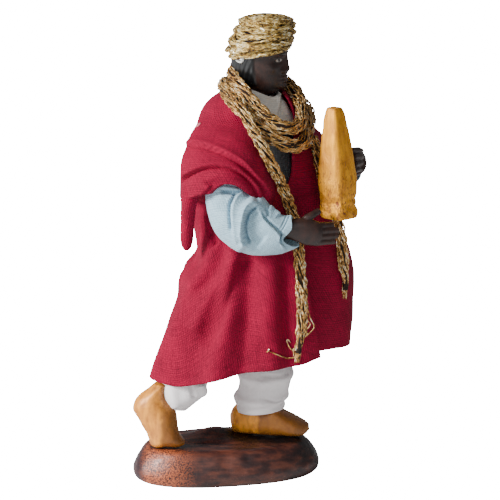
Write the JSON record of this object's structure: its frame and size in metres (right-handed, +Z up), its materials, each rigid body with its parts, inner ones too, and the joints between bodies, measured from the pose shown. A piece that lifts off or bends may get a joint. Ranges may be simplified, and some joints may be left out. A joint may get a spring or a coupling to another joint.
{
  "type": "nativity figurine",
  "caption": "Striding nativity musician in a red cloth cloak, gold cord turban and scarf, holding a gold instrument, on an oval clay base.",
  "frame": {"origin": "centre of the base's flat underside", "axes": "+X is the way the figure strides, +Y its left side, +Z up"},
  "size_m": [0.0524, 0.0404, 0.1052],
  "materials": {
    "base_clay": "dark brown glaze wiped over copper, satin",
    "shoe_gold": "ochre-gold paint over clay, satin",
    "trouser_cotton": "off-white plain weave, matt",
    "vest_cloth": "dark blue-grey weave, matt",
    "collar_cotton": "pale grey-beige weave, matt",
    "skin_paint": "dark brown paint over clay, satin, with glossy black hair",
    "gold_cord": "knitted metallic thread, glittering",
    "shirt_cotton": "light blue plain weave, matt",
    "instrument_gold": "gold paint over clay, coppery in the hollows",
    "cloak_cloth": "crimson plain weave, matt"
  },
  "bodies": {
    "root": {"base": "base_clay", "shoe_right": "shoe_gold", "shoe_left": "shoe_gold", "trousers": "trouser_cotton", "tunic": "vest_cloth", "collar": "collar_cotton", "head": "skin_paint", "turban": "gold_cord", "sleeve_right": "shirt_cotton", "sleeve_left": "shirt_cotton", "hand_right": "skin_paint", "hand_left": "skin_paint", "instrument": "instrument_gold", "cloak": "cloak_cloth", "scarf_wound": "gold_cord", "scarf_end_right": "gold_cord", "scarf_end_left": "gold_cord"}
  },
  "joints": []
}
